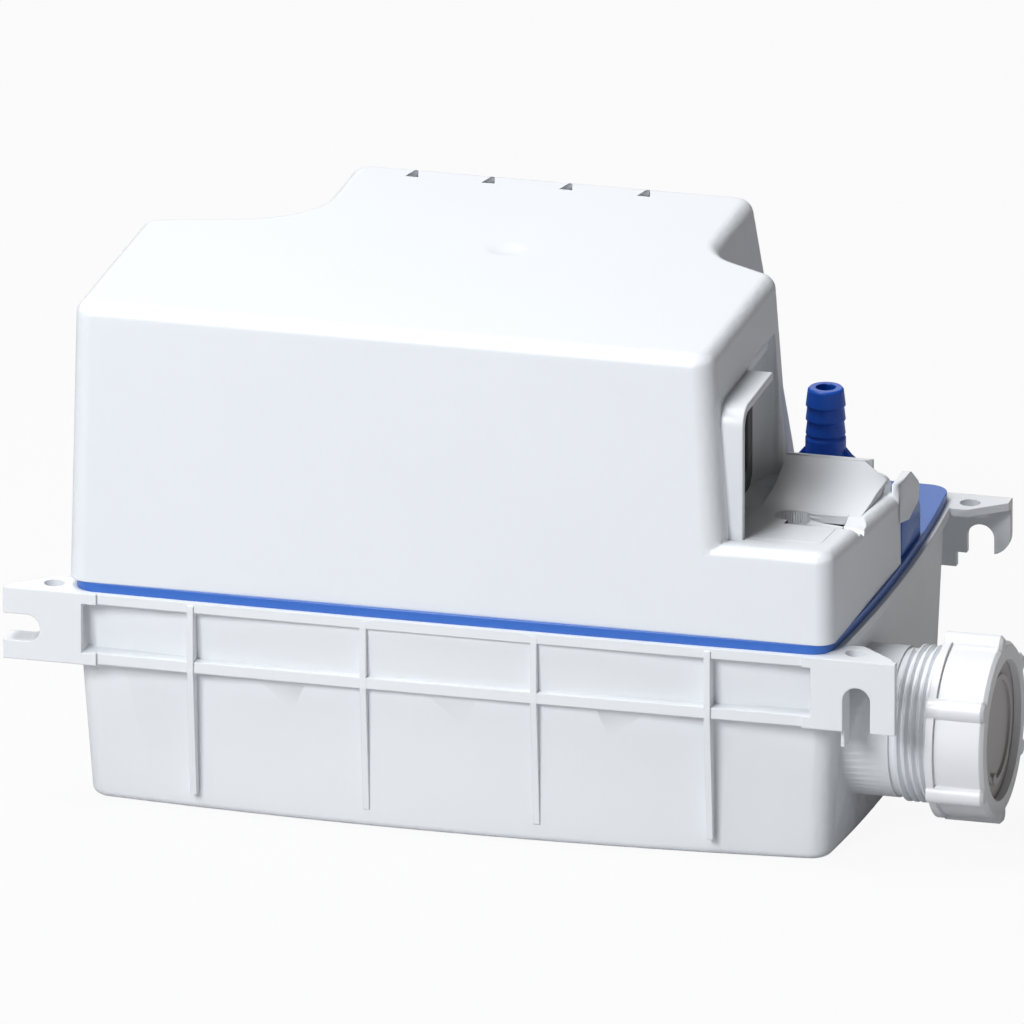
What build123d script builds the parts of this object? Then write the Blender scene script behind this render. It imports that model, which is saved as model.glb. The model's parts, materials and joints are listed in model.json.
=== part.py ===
from build123d import *
import os
from math import cos, degrees, radians, sin, tan

# A condensate pump: a wide tank with a blue deck on it, a shaded-pole motor standing on the deck under
# a white cover, and a centrifugal pump hanging from the deck into the tank.
# Millimetres. The origin is the middle of the tank's underside, +X points to the drain spout, +Z up.

# ---------------------------------------------------------------- driving dimensions
TANK_LEFT = -119.5          # outer faces of the tank at its rim
TANK_RIGHT = 117.6
TANK_HALF_Y = 77.2
TANK_HEIGHT = 68.5
TANK_BOW_Y = 6.2            # the long walls bulge outward by this much
END_BOW = 3.4               # and the spout end by this much
TANK_CORNER = 7.0
TANK_FLOOR_EDGE = 2.5
TANK_WALL = 2.5
DRAFT_LEFT = 3.6            # degrees
DRAFT_RIGHT = 2.0
DRAFT_FRONT = 2.8

RIM_BAND = 3.3
RIM_BOW = 1.0
RAIL_LENGTH = (-114.6, 112.7)
RIB_X = (26.6, 80.6)
RIB_WIDTH = 2.0
RIB_FOOT = 6.0

EAR_HOLE_X = 125.0          # four vertical fixing holes
EAR_HOLE = 6.2
EAR_TIP = 139.0
EAR_PLATE = 2.5
SLOT_WIDTH = 8.6
SLOT_DEPTH = 9.0
SIDE_SLOT_END = -127.5      # slots of the left ears open sideways
DOWN_SLOT_X = 127.0         # slots of the right ears open downward

DECK = 3.0
DECK_INSET = 1.6
COVER_HEIGHT = 87.6         # above the deck
COVER_WALL = 2.3
COVER_EDGE = 4.6
COVER_CORNER = 6.5
COVER_LEAN = 3.5            # the front wall leans back by this much
STEP_BACK_Y = 7.0
HOOD_FRONT = -66.0
HOOD_REACH = 88.3
HOOD_SHEET = 2.5
ALCOVE_X = 74.0             # wall that carries the electrical inlet
ALCOVE_BACK = -4.0

SPOUT_Y = -36.0
SPOUT_Z = 35.4
SPOUT_PIPE = 46.0
SPOUT_THREAD = 47.8         # G 1 1/2
SPOUT_ROOT = 44.85
SPOUT_BORE = 40.0
SPOUT_NECK = 132.0
SPOUT_END = 155.4
NUT_BACK = 144.6
NUT_FRONT = 162.4
NUT_BODY = 54.0
NUT_RING = 56.0
NUT_OVER_LUGS = 60.0
NUT_LUGS = 6
NUT_OPENING = 43.0
NUT_FACE = 2.4
THREAD_PLAY = 0.2

AXIS_X = -5.0               # motor shaft
SHAFT = 5.0
RUN_FIT = 0.04              # radial play of a bearing
ROTOR = 35.4
AIR_GAP = 0.4
STACK_HEIGHT = 24.0
BRACKET = 2.0
VOLUTE_LOW = 14.0
VOLUTE_TOP = 30.0
OUTLET_Z = 21.0
IMPELLER = 42.0

FLOAT_X = -80.0
FLOAT_Y = -5.0
FLOAT_DIAMETER = 48.0
FLOAT_LOW = 8.0
FLOAT_HEIGHT = 22.0
FLOAT_TRAVEL = 22.0
FLOAT_ROD = 4.0
LEVER_ARM = 45.0
PLUNGER_OFFSET = 6.0
CHEEK_GAP = 6.5

VALVE_X = 89.0
VALVE_SEAT = 7.0
BARB = 12.4
BARB_LENGTH = 25.0
BALL = 10.0

SCREW = 3.5                 # self-tapping screws that hold the plastic mouldings
SCREW_HEAD = 7.0
COVER_SCREW_X = 95.5
COVER_SCREW_Y = -33.0

# ---------------------------------------------------------------- derived
RIM_HALF_Y = TANK_HALF_Y + 0.8      # plane of the rim band, the rail, the ribs and the ear skirts
RIM_LEFT = TANK_LEFT - 0.3
RIM_RIGHT = TANK_RIGHT + 1.4
EAR_HOLE_Y = RIM_HALF_Y - 7.5
RAIL_LOW = TANK_HEIGHT - 22.5
RAIL_HIGH = RAIL_LOW + 3.5
SKIRT_FOOT = RAIL_LOW - 0.2
SIDE_SLOT_Z = TANK_HEIGHT - 12.5
DOWN_SLOT_TOP = TANK_HEIGHT - 8.5
DECK_LOW = TANK_HEIGHT
DECK_TOP = DECK_LOW + DECK
COVER_TOP = DECK_TOP + COVER_HEIGHT
COVER_FRONT = 1.7 - TANK_HALF_Y
STEP_TOP = DECK_TOP + 29.0
STEP_LOW = DECK_TOP + 23.5
STEP_END_TOP = DECK_TOP + 27.1
STEP_WALL_TOP = DECK_TOP + 31.3
STEP_HOLLOW_Y = STEP_BACK_Y - 15
STEP_SLOPE = (STEP_TOP - STEP_LOW) / (STEP_HOLLOW_Y - COVER_FRONT)
POCKET_FLOOR = STEP_TOP - STEP_SLOPE * (COVER_SCREW_Y - COVER_FRONT)
ALCOVE_TOP = DECK_TOP + 70.9
TAB_LOW = DECK_TOP + 11.2
TAB_HIGH = DECK_TOP + 26.0
AXIS_Y = TANK_HALF_Y - 67.2
STACK_LOW = DECK_TOP + 20.5
STACK_TOP = STACK_LOW + STACK_HEIGHT
BRACKET_LOW = STACK_LOW - 8.0
BRACKET_HIGH = STACK_TOP + STACK_LOW - BRACKET_LOW - BRACKET
FAN_LOW = STACK_TOP + 16.0
SHAFT_TOP = FAN_LOW + 14.0
LEVER_PIVOT_Z = DECK_TOP + 32.5
REST_TILT = degrees(FLOAT_TRAVEL / 2 / LEVER_ARM)
PIVOT_Y = FLOAT_Y - LEVER_ARM
COLLAR_Z = LEVER_PIVOT_Z - LEVER_ARM * sin(radians(REST_TILT))
PLUNGER_LOW = LEVER_PIVOT_Z - PLUNGER_OFFSET * sin(radians(REST_TILT)) + 2.0
SWITCH_LOW = LEVER_PIVOT_Z + 9.0
SWITCH_HIGH = SWITCH_LOW + 20.0
VALVE_Y = AXIS_Y + 23.5
VALVE_TOWER_TOP = DECK_TOP + 18.5
SEAT_Z = DECK_TOP + 2.5
BALL_Z = SEAT_Z + (BALL**2 / 4 - VALVE_SEAT**2 / 4)**0.5 + 0.05
BARB_TOP = VALVE_TOWER_TOP + BARB_LENGTH
nodes = {}


# ---------------------------------------------------------------- small helpers
def block(x0, x1, y0, y1, z0, z1):
    """Box between two corners."""
    middle = Pos((x0 + x1) / 2, (y0 + y1) / 2, (z0 + z1) / 2)
    return middle * Box(x1 - x0, y1 - y0, z1 - z0)


def post(x, y, z0, z1, diameter):
    """Upright cylinder."""
    return Pos(x, y, (z0 + z1) / 2) * Cylinder(diameter / 2, z1 - z0)


def sleeve(x, y, z0, z1, outer, inner):
    """Upright tube."""
    return post(x, y, z0, z1, outer) - post(x, y, z0, z1, inner)


def disc_x(x0, x1, diameter):
    """Cylinder along X on the spout's axis."""
    return Pos((x0 + x1) / 2, SPOUT_Y, SPOUT_Z) * Rot(0, 90, 0) * Cylinder(diameter / 2, x1 - x0)


def screw(x, y, seat, length):
    """Pan-head screw whose head stands on the height called seat."""
    head = post(x, y, seat, seat + 2.2, SCREW_HEAD)
    head = chamfer(head.edges().group_by(Axis.Z)[-1], 0.7)
    return head + post(x, y, seat - length, seat, SCREW)


def cross_recess(x, y, top):
    """Cross-shaped recess for the driver."""
    slot = Pos(x, y, top) * Box(4.4, 0.9, 2.4)
    return slot + Pos(x, y, top) * Box(0.9, 4.4, 2.4)


def group(solids):
    """Several separate solids that share one node."""
    return Compound(children=[item.solid() if len(item.solids()) == 1 else item for item in solids])


def bowed_outline(z, left, right, half_y, bow_y, bow_right, corner):
    """Plan of the tank at one height: bowed long sides, a straight left end and a bowed right end."""
    side = half_y - bow_y
    front = ThreePointArc((left, -side), ((left + right) / 2, -half_y), (right, -side))
    end = ThreePointArc((right, -side), (right + bow_right, 0), (right, side))
    back = ThreePointArc((right, side), ((left + right) / 2, half_y), (left, side))
    face = make_face([front, end, back, Line((left, side), (left, -side))])
    return Pos(0, 0, z) * fillet(face.vertices(), corner)


def tank_form(inset, z0):
    """Tapered body of the tank from z0 to the rim, inset from its outer faces."""
    def plan(z):
        drop = TANK_HEIGHT - z
        left = TANK_LEFT + inset + drop * tan(radians(DRAFT_LEFT))
        right = TANK_RIGHT - inset - drop * tan(radians(DRAFT_RIGHT))
        half_y = TANK_HALF_Y - inset - drop * tan(radians(DRAFT_FRONT))
        return bowed_outline(z, left, right, half_y, TANK_BOW_Y, END_BOW, TANK_CORNER - inset)
    return loft([plan(z0).face(), plan(TANK_HEIGHT).face()], ruled=True)


def rim_form(z0, z1, inset=0.0):
    """Upright prism on the rim's own, almost straight outline."""
    face = bowed_outline(z0, RIM_LEFT + inset, RIM_RIGHT - inset, RIM_HALF_Y - inset,
                         RIM_BOW, END_BOW, TANK_CORNER)
    return extrude(face, z1 - z0)


# ---------------------------------------------------------------- tank
SCREW_FRONT = 17.2 - TANK_HALF_Y
SCREW_BACK = TANK_HALF_Y - 14.2
DECK_SCREWS = ((-106, SCREW_FRONT), (106, SCREW_FRONT), (-55, SCREW_BACK), (40, SCREW_BACK))


def ear(side_x, side_y):
    """Corner ear: a top plate with a vertical hole and a slotted skirt under its outer edge."""
    front = RIM_HALF_Y
    plan = Polyline((110, front), (EAR_TIP, front), (EAR_TIP - 2, front - 4.5), (126, front - 14),
                    (110, front - 14), close=True)
    plate = extrude(Pos(0, 0, TANK_HEIGHT - EAR_PLATE) * make_face(plan), EAR_PLATE)
    plate -= post(EAR_HOLE_X, EAR_HOLE_Y, 0, TANK_HEIGHT + 1, EAR_HOLE)
    skirt = block(110, EAR_TIP, front - EAR_PLATE, front, SKIRT_FOOT, TANK_HEIGHT)
    if side_x > 0:
        arch = DOWN_SLOT_TOP - SLOT_WIDTH / 2
        slot = Pos(DOWN_SLOT_X, front, arch) * Rot(90, 0, 0) * Cylinder(SLOT_WIDTH / 2, 2 * SLOT_DEPTH)
        slot += block(DOWN_SLOT_X - SLOT_WIDTH / 2, DOWN_SLOT_X + SLOT_WIDTH / 2,
                      front - SLOT_DEPTH, front + SLOT_DEPTH, 0, arch)
        lip = Pos(DOWN_SLOT_X, front - SLOT_DEPTH / 2, arch) * Rot(90, 0, 0)
        collar = lip * Cylinder(SLOT_WIDTH / 2 + 2, SLOT_DEPTH)
        collar += block(DOWN_SLOT_X - SLOT_WIDTH / 2 - 2, DOWN_SLOT_X + SLOT_WIDTH / 2 + 2,
                        front - SLOT_DEPTH, front, SKIRT_FOOT, arch)
        collar += block(DOWN_SLOT_X - SLOT_WIDTH / 2 - 1.2, DOWN_SLOT_X - SLOT_WIDTH / 2,
                        front - SLOT_DEPTH, front - 3, SKIRT_FOOT - 6, arch)
    else:
        end = -SIDE_SLOT_END + SLOT_WIDTH / 2
        slot = Pos(end, front, SIDE_SLOT_Z) * Rot(90, 0, 0) * Cylinder(SLOT_WIDTH / 2, 2 * SLOT_DEPTH)
        slot += block(end, EAR_TIP + 5, front - SLOT_DEPTH, front + SLOT_DEPTH,
                      SIDE_SLOT_Z - SLOT_WIDTH / 2, SIDE_SLOT_Z + SLOT_WIDTH / 2)
        lip = Pos(end, front - SLOT_DEPTH / 2, SIDE_SLOT_Z) * Rot(90, 0, 0)
        collar = lip * Cylinder(SLOT_WIDTH / 2 + 2, SLOT_DEPTH)
        collar += block(end, EAR_TIP, front - SLOT_DEPTH, front,
                        SIDE_SLOT_Z - SLOT_WIDTH / 2 - 2, SIDE_SLOT_Z + SLOT_WIDTH / 2 + 2)
    shape = plate + skirt + collar - slot
    if side_x < 0:
        shape = mirror(shape, Plane.YZ)
    if side_y < 0:
        shape = mirror(shape, Plane.XZ)
    return shape


def make_tank():
    """Moulded tank with its rim band, rail, ribs, four ears, screw posts and drain spout."""
    body = tank_form(0, 0)
    body = fillet(body.edges().group_by(Axis.Z)[0], TANK_FLOOR_EDGE)
    cavity = tank_form(TANK_WALL, TANK_WALL)
    frame = rim_form(TANK_HEIGHT - RIM_BAND, TANK_HEIGHT)
    rail = rim_form(RAIL_LOW, RAIL_HIGH) & block(*RAIL_LENGTH, -RIM_HALF_Y, RIM_HALF_Y, 0, TANK_HEIGHT)
    slope = (RAIL_LOW - RIB_FOOT) * tan(radians(5.5))
    for x in (*RIB_X, *(-x for x in RIB_X)):
        for side in (-1, 1):
            root = side * (RIM_HALF_Y - 18)
            profile = Polyline((root, RIB_FOOT), (side * (RIM_HALF_Y - slope), RIB_FOOT),
                               (side * RIM_HALF_Y, RAIL_LOW), (side * RIM_HALF_Y, TANK_HEIGHT - 1),
                               (root, TANK_HEIGHT - 1), close=True)
            rib = extrude(Plane.YZ * make_face(profile), RIB_WIDTH / 2, both=True)
            frame += Pos(x, 0, 0) * rib
    frame += rail
    for side_x in (-1, 1):
        for side_y in (-1, 1):
            frame += ear(side_x, side_y)
    body += frame
    body += disc_x(100, SPOUT_NECK, SPOUT_PIPE) + disc_x(SPOUT_NECK, SPOUT_END, SPOUT_ROOT)
    body -= cavity
    body -= disc_x(90, SPOUT_END + 1, SPOUT_BORE)
    for x, y in DECK_SCREWS:
        foot = TANK_HEIGHT - 28.5
        body += post(x, y, foot, TANK_HEIGHT, 9) - post(x, y, TANK_HEIGHT - 18.5, TANK_HEIGHT, SCREW)
        wall_y = y + 10 if y > 0 else y - 10
        web = block(x - 1.2, x + 1.2, min(y, wall_y), max(y, wall_y), foot, TANK_HEIGHT - 4)
        body += web - post(x, y, foot - 1, TANK_HEIGHT, 8)
    return body


# ---------------------------------------------------------------- deck
COLUMN_SCREWS = tuple((AXIS_X + 24 * cos(radians(a)), AXIS_Y + 24 * sin(radians(a)))
                      for a in (45, 135, 225, 315))
MOTOR_FEET = tuple((AXIS_X + sx * 27, AXIS_Y + sy * 21) for sx in (-1, 1) for sy in (-1, 1))
UPSTAND_Y = (STEP_BACK_Y + 0.6, STEP_BACK_Y + 20.4)
END_FACE = TANK_RIGHT + 3.0


def make_deck():
    """Blue deck plate with its lip, valve tower, rod guide and the clip upstand at the spout end."""
    plate = rim_form(DECK_LOW, DECK_TOP, DECK_INSET)
    lip = tank_form(TANK_WALL + 0.4, DECK_LOW - 4) - tank_form(TANK_WALL + 2.4, DECK_LOW - 4)
    deck = plate + lip
    deck += block(END_FACE - 5.0, END_FACE - 2.7, *UPSTAND_Y, DECK_TOP - 1, TAB_LOW + 1.4)
    deck += post(VALVE_X, VALVE_Y, DECK_LOW - 8, VALVE_TOWER_TOP, 17)
    deck -= post(VALVE_X, VALVE_Y, SEAT_Z, VALVE_TOWER_TOP, 13)
    deck -= post(VALVE_X, VALVE_Y, DECK_LOW - 9, SEAT_Z + 1, VALVE_SEAT)
    deck -= post(VALVE_X, VALVE_Y, DECK_LOW - 9, DECK_LOW, 12)
    deck += post(FLOAT_X, FLOAT_Y, DECK_LOW - 6, DECK_TOP + 6, 10)
    deck -= post(FLOAT_X, FLOAT_Y, DECK_LOW - 7, DECK_TOP + 7, FLOAT_ROD + 0.3)
    deck += post(COVER_SCREW_X, COVER_SCREW_Y, DECK_LOW - 8, DECK_LOW, 8)
    deck -= post(COVER_SCREW_X, COVER_SCREW_Y, DECK_LOW - 6, DECK_TOP, SCREW)
    deck -= post(AXIS_X, AXIS_Y, DECK_LOW - 1, DECK_TOP + 1, 14)
    for x, y in (*DECK_SCREWS, *COLUMN_SCREWS):
        deck -= post(x, y, DECK_LOW, DECK_TOP, SCREW)
        deck -= post(x, y, DECK_LOW - 6, DECK_LOW, 10)
    groove = rim_form(DECK_LOW, DECK_LOW + 1.2, 4.2) - rim_form(DECK_LOW, DECK_LOW + 1.2, 5.6)
    return deck - (groove - lip)


# ---------------------------------------------------------------- top cover
def tall_plan(z, inset, lean):
    """Plan of the tall part of the cover: a wide front with a narrower lobe behind it."""
    left, right = RIM_LEFT - 0.2 + 0.35 * lean + inset, 86.3 - 1.8 * lean - inset
    front, back = COVER_FRONT + lean + inset, TANK_HALF_Y + 0.2 - inset
    lobe_left, lobe_right = -71.0 + 0.3 * lean + inset, 70.8 - 4.28 * lean - inset
    corners = [(left, front), (left, back - 65.4 - 0.2 * lean), (lobe_left, back - 50.9 - 0.2 * lean),
               (lobe_left, back), (lobe_right, back), (lobe_right, back - 56.7 + 0.75 * lean),
               (right, back - 67.6 - 0.3 * lean), (right, front)]
    face = make_face(Polyline(*corners, close=True))
    for i, radius in ((2, 28), (5, 19)):
        hollow = face.vertices().sort_by_distance((*corners[i], 0))[0]
        face = fillet([hollow], radius + inset)
    convex = [face.vertices().sort_by_distance((*corners[i], 0))[0] for i in (0, 1, 3, 4, 6, 7)]
    return Pos(0, 0, z) * fillet(convex, COVER_CORNER - inset)


def step_plan(z, inset, lean):
    """Plan of the low step at the spout end."""
    left, right = 60, END_FACE - 0.35 * lean - inset
    front, back = COVER_FRONT + lean + inset, STEP_BACK_Y + 0.4 - 0.3 * lean - inset
    face = make_face(Polyline((left, front), (right - 2, front), (right, back), (left, back), close=True))
    convex = [face.vertices().sort_by_distance((right, y, 0))[0] for y in (front, back)]
    return Pos(0, 0, z) * fillet(convex, 5.5 - inset)


def step_height(y):
    """Height of the step's sloping top, which falls toward the back."""
    return STEP_TOP - STEP_SLOPE * (y - COVER_FRONT)


def step_form(inset):
    """Outer form of the step, or the hollow inside it when inset is the wall thickness."""
    plans = [step_plan(DECK_TOP, inset, 0).face(), step_plan(STEP_TOP + 1, inset, 1.2).face()]
    front, back = COVER_FRONT - 1, STEP_BACK_Y + 2
    above = Polyline((front, step_height(front) - inset), (back, step_height(back) - inset),
                     (back, STEP_TOP + 4), (front, STEP_TOP + 4), close=True)
    step = loft(plans, ruled=True) - Pos(55, 0, 0) * extrude(Plane.YZ * make_face(above), END_FACE - 50)
    if inset == 0:
        top = step.faces().sort_by(Axis.Z)[-1]
        step = fillet(top.edges().filter_by(lambda e: e.center().X > 62), 3.8)
    return step


def step_wall():
    """Low wall along the back of the step, with a hollow sweep at its foot and a rounded spout end."""
    foot = (STEP_HOLLOW_Y, step_height(STEP_HOLLOW_Y) - 0.2)
    head = (STEP_BACK_Y - 2.4, STEP_WALL_TOP)
    middle = (STEP_BACK_Y - 5.2, STEP_LOW + 2.4)
    low = STEP_LOW - 3
    side = make_face([ThreePointArc(foot, middle, head),
                      Polyline(head, (STEP_BACK_Y, STEP_WALL_TOP), (STEP_BACK_Y, low), (foot[0], low), foot)])
    end = make_face([Polyline((112, STEP_END_TOP), (111.5, STEP_END_TOP), (111.5, STEP_WALL_TOP),
                              (60, STEP_WALL_TOP), (60, low), (116.4, low), (116.4, STEP_LOW - 1)),
                     ThreePointArc((116.4, STEP_LOW - 1), (115.2, STEP_END_TOP - 1.2), (112, STEP_END_TOP))])
    wall = Pos(60, 0, 0) * extrude(Plane.YZ * side, 60)
    wall &= Pos(0, STEP_BACK_Y + 1, 0) * extrude(Plane.XZ * end, 20)
    slant = Polyline((105, 3), (111.5, STEP_BACK_Y + 0.5), (113, STEP_BACK_Y + 0.5), (113, 3), close=True)
    return wall - Pos(0, 0, STEP_END_TOP) * extrude(make_face(slant), 10)


def tall_form(inset):
    """Outer form of the tall part, or the hollow inside it when inset is the wall thickness."""
    tall = loft([tall_plan(DECK_TOP, inset, 0).face(), tall_plan(COVER_TOP - inset, inset, COVER_LEAN).face()],
                ruled=True)
    if inset == 0:
        tall = fillet(tall.edges().group_by(Axis.Z)[-1], COVER_EDGE)
    return tall - alcove(inset)


def alcove(inset):
    """Space under the hood; its back wall sweeps out to the cover's right face."""
    wall = ALCOVE_X - inset
    reach = HOOD_REACH + 5
    back = ALCOVE_BACK + inset
    lip = (ALCOVE_X + 10.5, back + 5.5)
    sweep = [Line((wall, HOOD_FRONT + HOOD_SHEET - inset), (wall, back)),
             ThreePointArc((wall, back), (wall + 3.2 + 0.3 * inset, back + 3.9), lip),
             Polyline(lip, (reach, back + 5.5), (reach, HOOD_FRONT + HOOD_SHEET - inset),
                      (wall, HOOD_FRONT + HOOD_SHEET - inset))]
    return Pos(0, 0, DECK_TOP) * extrude(make_face(sweep), ALCOVE_TOP + inset - DECK_TOP)


def hood():
    """Lip round the front and top of the alcove."""
    front, back = HOOD_FRONT, HOOD_FRONT + 44
    top, sheet = ALCOVE_TOP + HOOD_SHEET, HOOD_SHEET
    plan = Polyline((front, POCKET_FLOOR), (front, top - 6), (front + 6, top), (back, top), (back, top - sheet),
                    (front + 7, top - sheet), (front + sheet, top - 7), (front + sheet, POCKET_FLOOR),
                    close=True)
    return Pos(ALCOVE_X, 0, 0) * extrude(Plane.YZ * make_face(plan), HOOD_REACH - ALCOVE_X)


def drip_channel(depth):
    """V channel that drains the screw pocket over the spout end."""
    profile = Polyline((-7.5 - depth, POCKET_FLOOR + 4), (0, POCKET_FLOOR - 3.2 - depth),
                       (7.5 + depth, POCKET_FLOOR + 4), close=True)
    start = Pos(COVER_SCREW_X, COVER_SCREW_Y, 0) * Rot(0, 0, -12)
    return start * extrude(Plane.YZ * make_face(profile), 40)


def clip_tab():
    """Rounded tab of the cover that closes over the deck's upstand."""
    left, right = 0.5, UPSTAND_Y[1] - 2.4
    outline = Polyline((left, TAB_LOW + 2.6), (left, TAB_HIGH), (left + 13.5, TAB_HIGH), (right, TAB_LOW + 7.5),
                       (right - 1.5, TAB_LOW + 2.2), (left + 11.5, TAB_LOW), close=True)
    face = make_face(outline)
    round_off = [face.vertices().sort_by_distance(p)[0] for p in
                 ((left + 13.5, TAB_HIGH, 0), (right, TAB_LOW + 7.5, 0), (left + 11.5, TAB_LOW, 0))]
    return Pos(END_FACE - 2.5, 0, 0) * extrude(Plane.YZ * fillet(round_off, 3.5), 2.5)


VENTS = (-49.7, -25.7, -1.3, 23.1)
PANEL = (70.5, ALCOVE_X, HOOD_FRONT + 8, ALCOVE_BACK - 1.5, STEP_LOW + 3.0, ALCOVE_TOP - 3.5)
SOCKET_Y = -35.0
SOCKET_Z = (PANEL[4] + PANEL[5]) / 2
SOCKET_WELL = 12.0


def make_cover():
    """White cover: thin-walled, with the hooded alcove, the hollowed step and the clip tab."""
    boss = post(COVER_SCREW_X, COVER_SCREW_Y, DECK_TOP, POCKET_FLOOR + 0.2, 15)
    hollow = step_form(COVER_WALL) - drip_channel(COVER_WALL) - boss
    step = step_form(0) + step_wall() - drip_channel(0)
    cover = tall_form(0) + step + hood() + clip_tab()
    cover -= tall_form(COVER_WALL) + hollow
    cover -= post(COVER_SCREW_X, COVER_SCREW_Y, POCKET_FLOOR - 6, STEP_TOP + 5, 11)
    cover -= post(COVER_SCREW_X, COVER_SCREW_Y, DECK_TOP - 1, POCKET_FLOOR, SCREW)
    cover -= panel_form()
    cover -= Pos(AXIS_X, AXIS_Y, COVER_TOP + 24.3) * Sphere(25.3)
    for x in VENTS:
        notch = Polyline((x - 2, TANK_HALF_Y - 9.7), (x + 2, TANK_HALF_Y - 9.7), (x, TANK_HALF_Y - 1.7), close=True)
        cover -= Pos(0, 0, COVER_TOP - COVER_WALL - 1) * extrude(make_face(notch), COVER_WALL + 2)
    return cover


def panel_form():
    """Rounded plate that fills the opening in the alcove's wall."""
    return fillet(block(*PANEL).edges().filter_by(Axis.X), 5)


# ---------------------------------------------------------------- spout nut, disc and washer
def make_nut():
    """Six-lug union nut, smooth inside with the thread's play."""
    nut = disc_x(NUT_BACK, NUT_FRONT, NUT_BODY)
    nut = chamfer(nut.edges().group_by(Axis.X)[-1], 1.2)
    nut += disc_x(NUT_BACK, NUT_BACK + 2.4, NUT_RING)
    for i in range(NUT_LUGS):
        angle = radians(30 + 60 * i)
        reach = NUT_OVER_LUGS / 2 - 3.2
        spot = Pos((NUT_BACK + NUT_FRONT) / 2, SPOUT_Y - reach * cos(angle), SPOUT_Z + reach * sin(angle))
        lug = Cylinder(3.2, NUT_FRONT - NUT_BACK)
        nut += spot * Rot(0, 90, 0) * chamfer(lug.edges().group_by(Axis.Z)[-1], 1.0)
    nut -= disc_x(NUT_BACK - 1, NUT_FRONT - NUT_FACE, SPOUT_THREAD + 2 * THREAD_PLAY)
    return nut - disc_x(NUT_BACK, NUT_FRONT + 1, NUT_OPENING)


def make_disc():
    """Blanking disc that the nut holds against the spout, with a raised ring."""
    front = NUT_FRONT - NUT_FACE - 0.1
    disc = disc_x(front - 2.4, front, SPOUT_THREAD - 0.4)
    disc += disc_x(front, front + 0.8, 34) - disc_x(front, front + 1, 30)
    gate = Pos(front + 0.6, SPOUT_Y - 5.8, SPOUT_Z - 14.0) * Rot(0, 90, 0) * Cylinder(1.8, 1.2)
    return disc + gate


def make_washer():
    """Flat rubber washer between the disc and the spout."""
    front = NUT_FRONT - NUT_FACE - 2.5
    return disc_x(SPOUT_END + 0.1, front, SPOUT_THREAD - 0.6) - disc_x(SPOUT_END, front, SPOUT_BORE + 1)


# ---------------------------------------------------------------- pump under the deck
def scroll_face(wall):
    """Growing spiral from the tongue round to the outlet side."""
    steps = range(0, 13)
    outer = [(AXIS_X + (24 + wall + 5.0 * i / 12) * sin(radians(30 * i)),
              AXIS_Y + (24 + wall + 5.0 * i / 12) * cos(radians(30 * i))) for i in steps]
    spiral = Spline(*outer)
    return make_face([spiral, Line(outer[-1], outer[0])])


def make_volute():
    """Volute housing with the column that hangs it from the deck."""
    form = extrude(Pos(0, 0, VOLUTE_LOW) * scroll_face(2.5), VOLUTE_TOP - VOLUTE_LOW)
    outlet = Rot(0, 90, 0) * Cylinder(6.5, 40)
    form += Pos(AXIS_X + 20, VALVE_Y, OUTLET_Z) * outlet
    form += post(AXIS_X, AXIS_Y, VOLUTE_TOP - 1, DECK_LOW - 3, 24)
    form += post(AXIS_X, AXIS_Y, DECK_LOW - 3, DECK_LOW, 60)
    form -= extrude(Pos(0, 0, VOLUTE_LOW) * scroll_face(0), VOLUTE_TOP - VOLUTE_LOW - 3)
    form -= Pos(AXIS_X + 20, VALVE_Y, OUTLET_Z) * Rot(0, 90, 0) * Cylinder(4, 41)
    form -= post(AXIS_X, AXIS_Y, VOLUTE_LOW, DECK_TOP, 14)
    for angle in (0, 90):
        window = Pos(AXIS_X, AXIS_Y, 50) * Rot(0, 0, angle) * Box(40, 9, 16)
        form -= window
    for x, y in COLUMN_SCREWS:
        form -= post(x, y, DECK_LOW - 3, DECK_LOW, SCREW)
    for x, y in VOLUTE_SCREWS:
        form += post(x, y, VOLUTE_LOW, VOLUTE_LOW + 12, 8)
        form -= post(x, y, VOLUTE_LOW, VOLUTE_LOW + 9, SCREW)
    return form


VOLUTE_SCREWS = tuple((AXIS_X + 30 * cos(radians(a)), AXIS_Y + 30 * sin(radians(a))) for a in (20, 200, 290))


def make_volute_cover():
    """Bottom plate of the volute with the pump's inlet."""
    plate = extrude(Pos(0, 0, VOLUTE_LOW - 3) * scroll_face(2.5), 3)
    for x, y in VOLUTE_SCREWS:
        plate += post(x, y, VOLUTE_LOW - 3, VOLUTE_LOW, 8)
        plate -= post(x, y, VOLUTE_LOW - 3, VOLUTE_LOW, SCREW)
    return plate - post(AXIS_X, AXIS_Y, 0, VOLUTE_LOW, 14)


def make_strainer():
    """Slotted ring that keeps grit out of the inlet."""
    ring = sleeve(AXIS_X, AXIS_Y, 4, VOLUTE_LOW - 3, 40, 36)
    for i in range(6):
        ring -= Pos(AXIS_X, AXIS_Y, 6) * Rot(0, 0, 30 * i) * Box(50, 4, 5)
    return ring


def make_impeller():
    """Open impeller with six swept vanes under a shroud."""
    wheel = post(AXIS_X, AXIS_Y, 23, 24.6, IMPELLER) + post(AXIS_X, AXIS_Y, 16, 26, 11)
    for i in range(6):
        vane = Pos(12.5, 0, 19.6) * Rot(0, 0, 28) * Box(16, 1.4, 7)
        wheel += Pos(AXIS_X, AXIS_Y, 0) * Rot(0, 0, 60 * i) * vane
    return wheel - post(AXIS_X, AXIS_Y, 0, 40, SHAFT)


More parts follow.
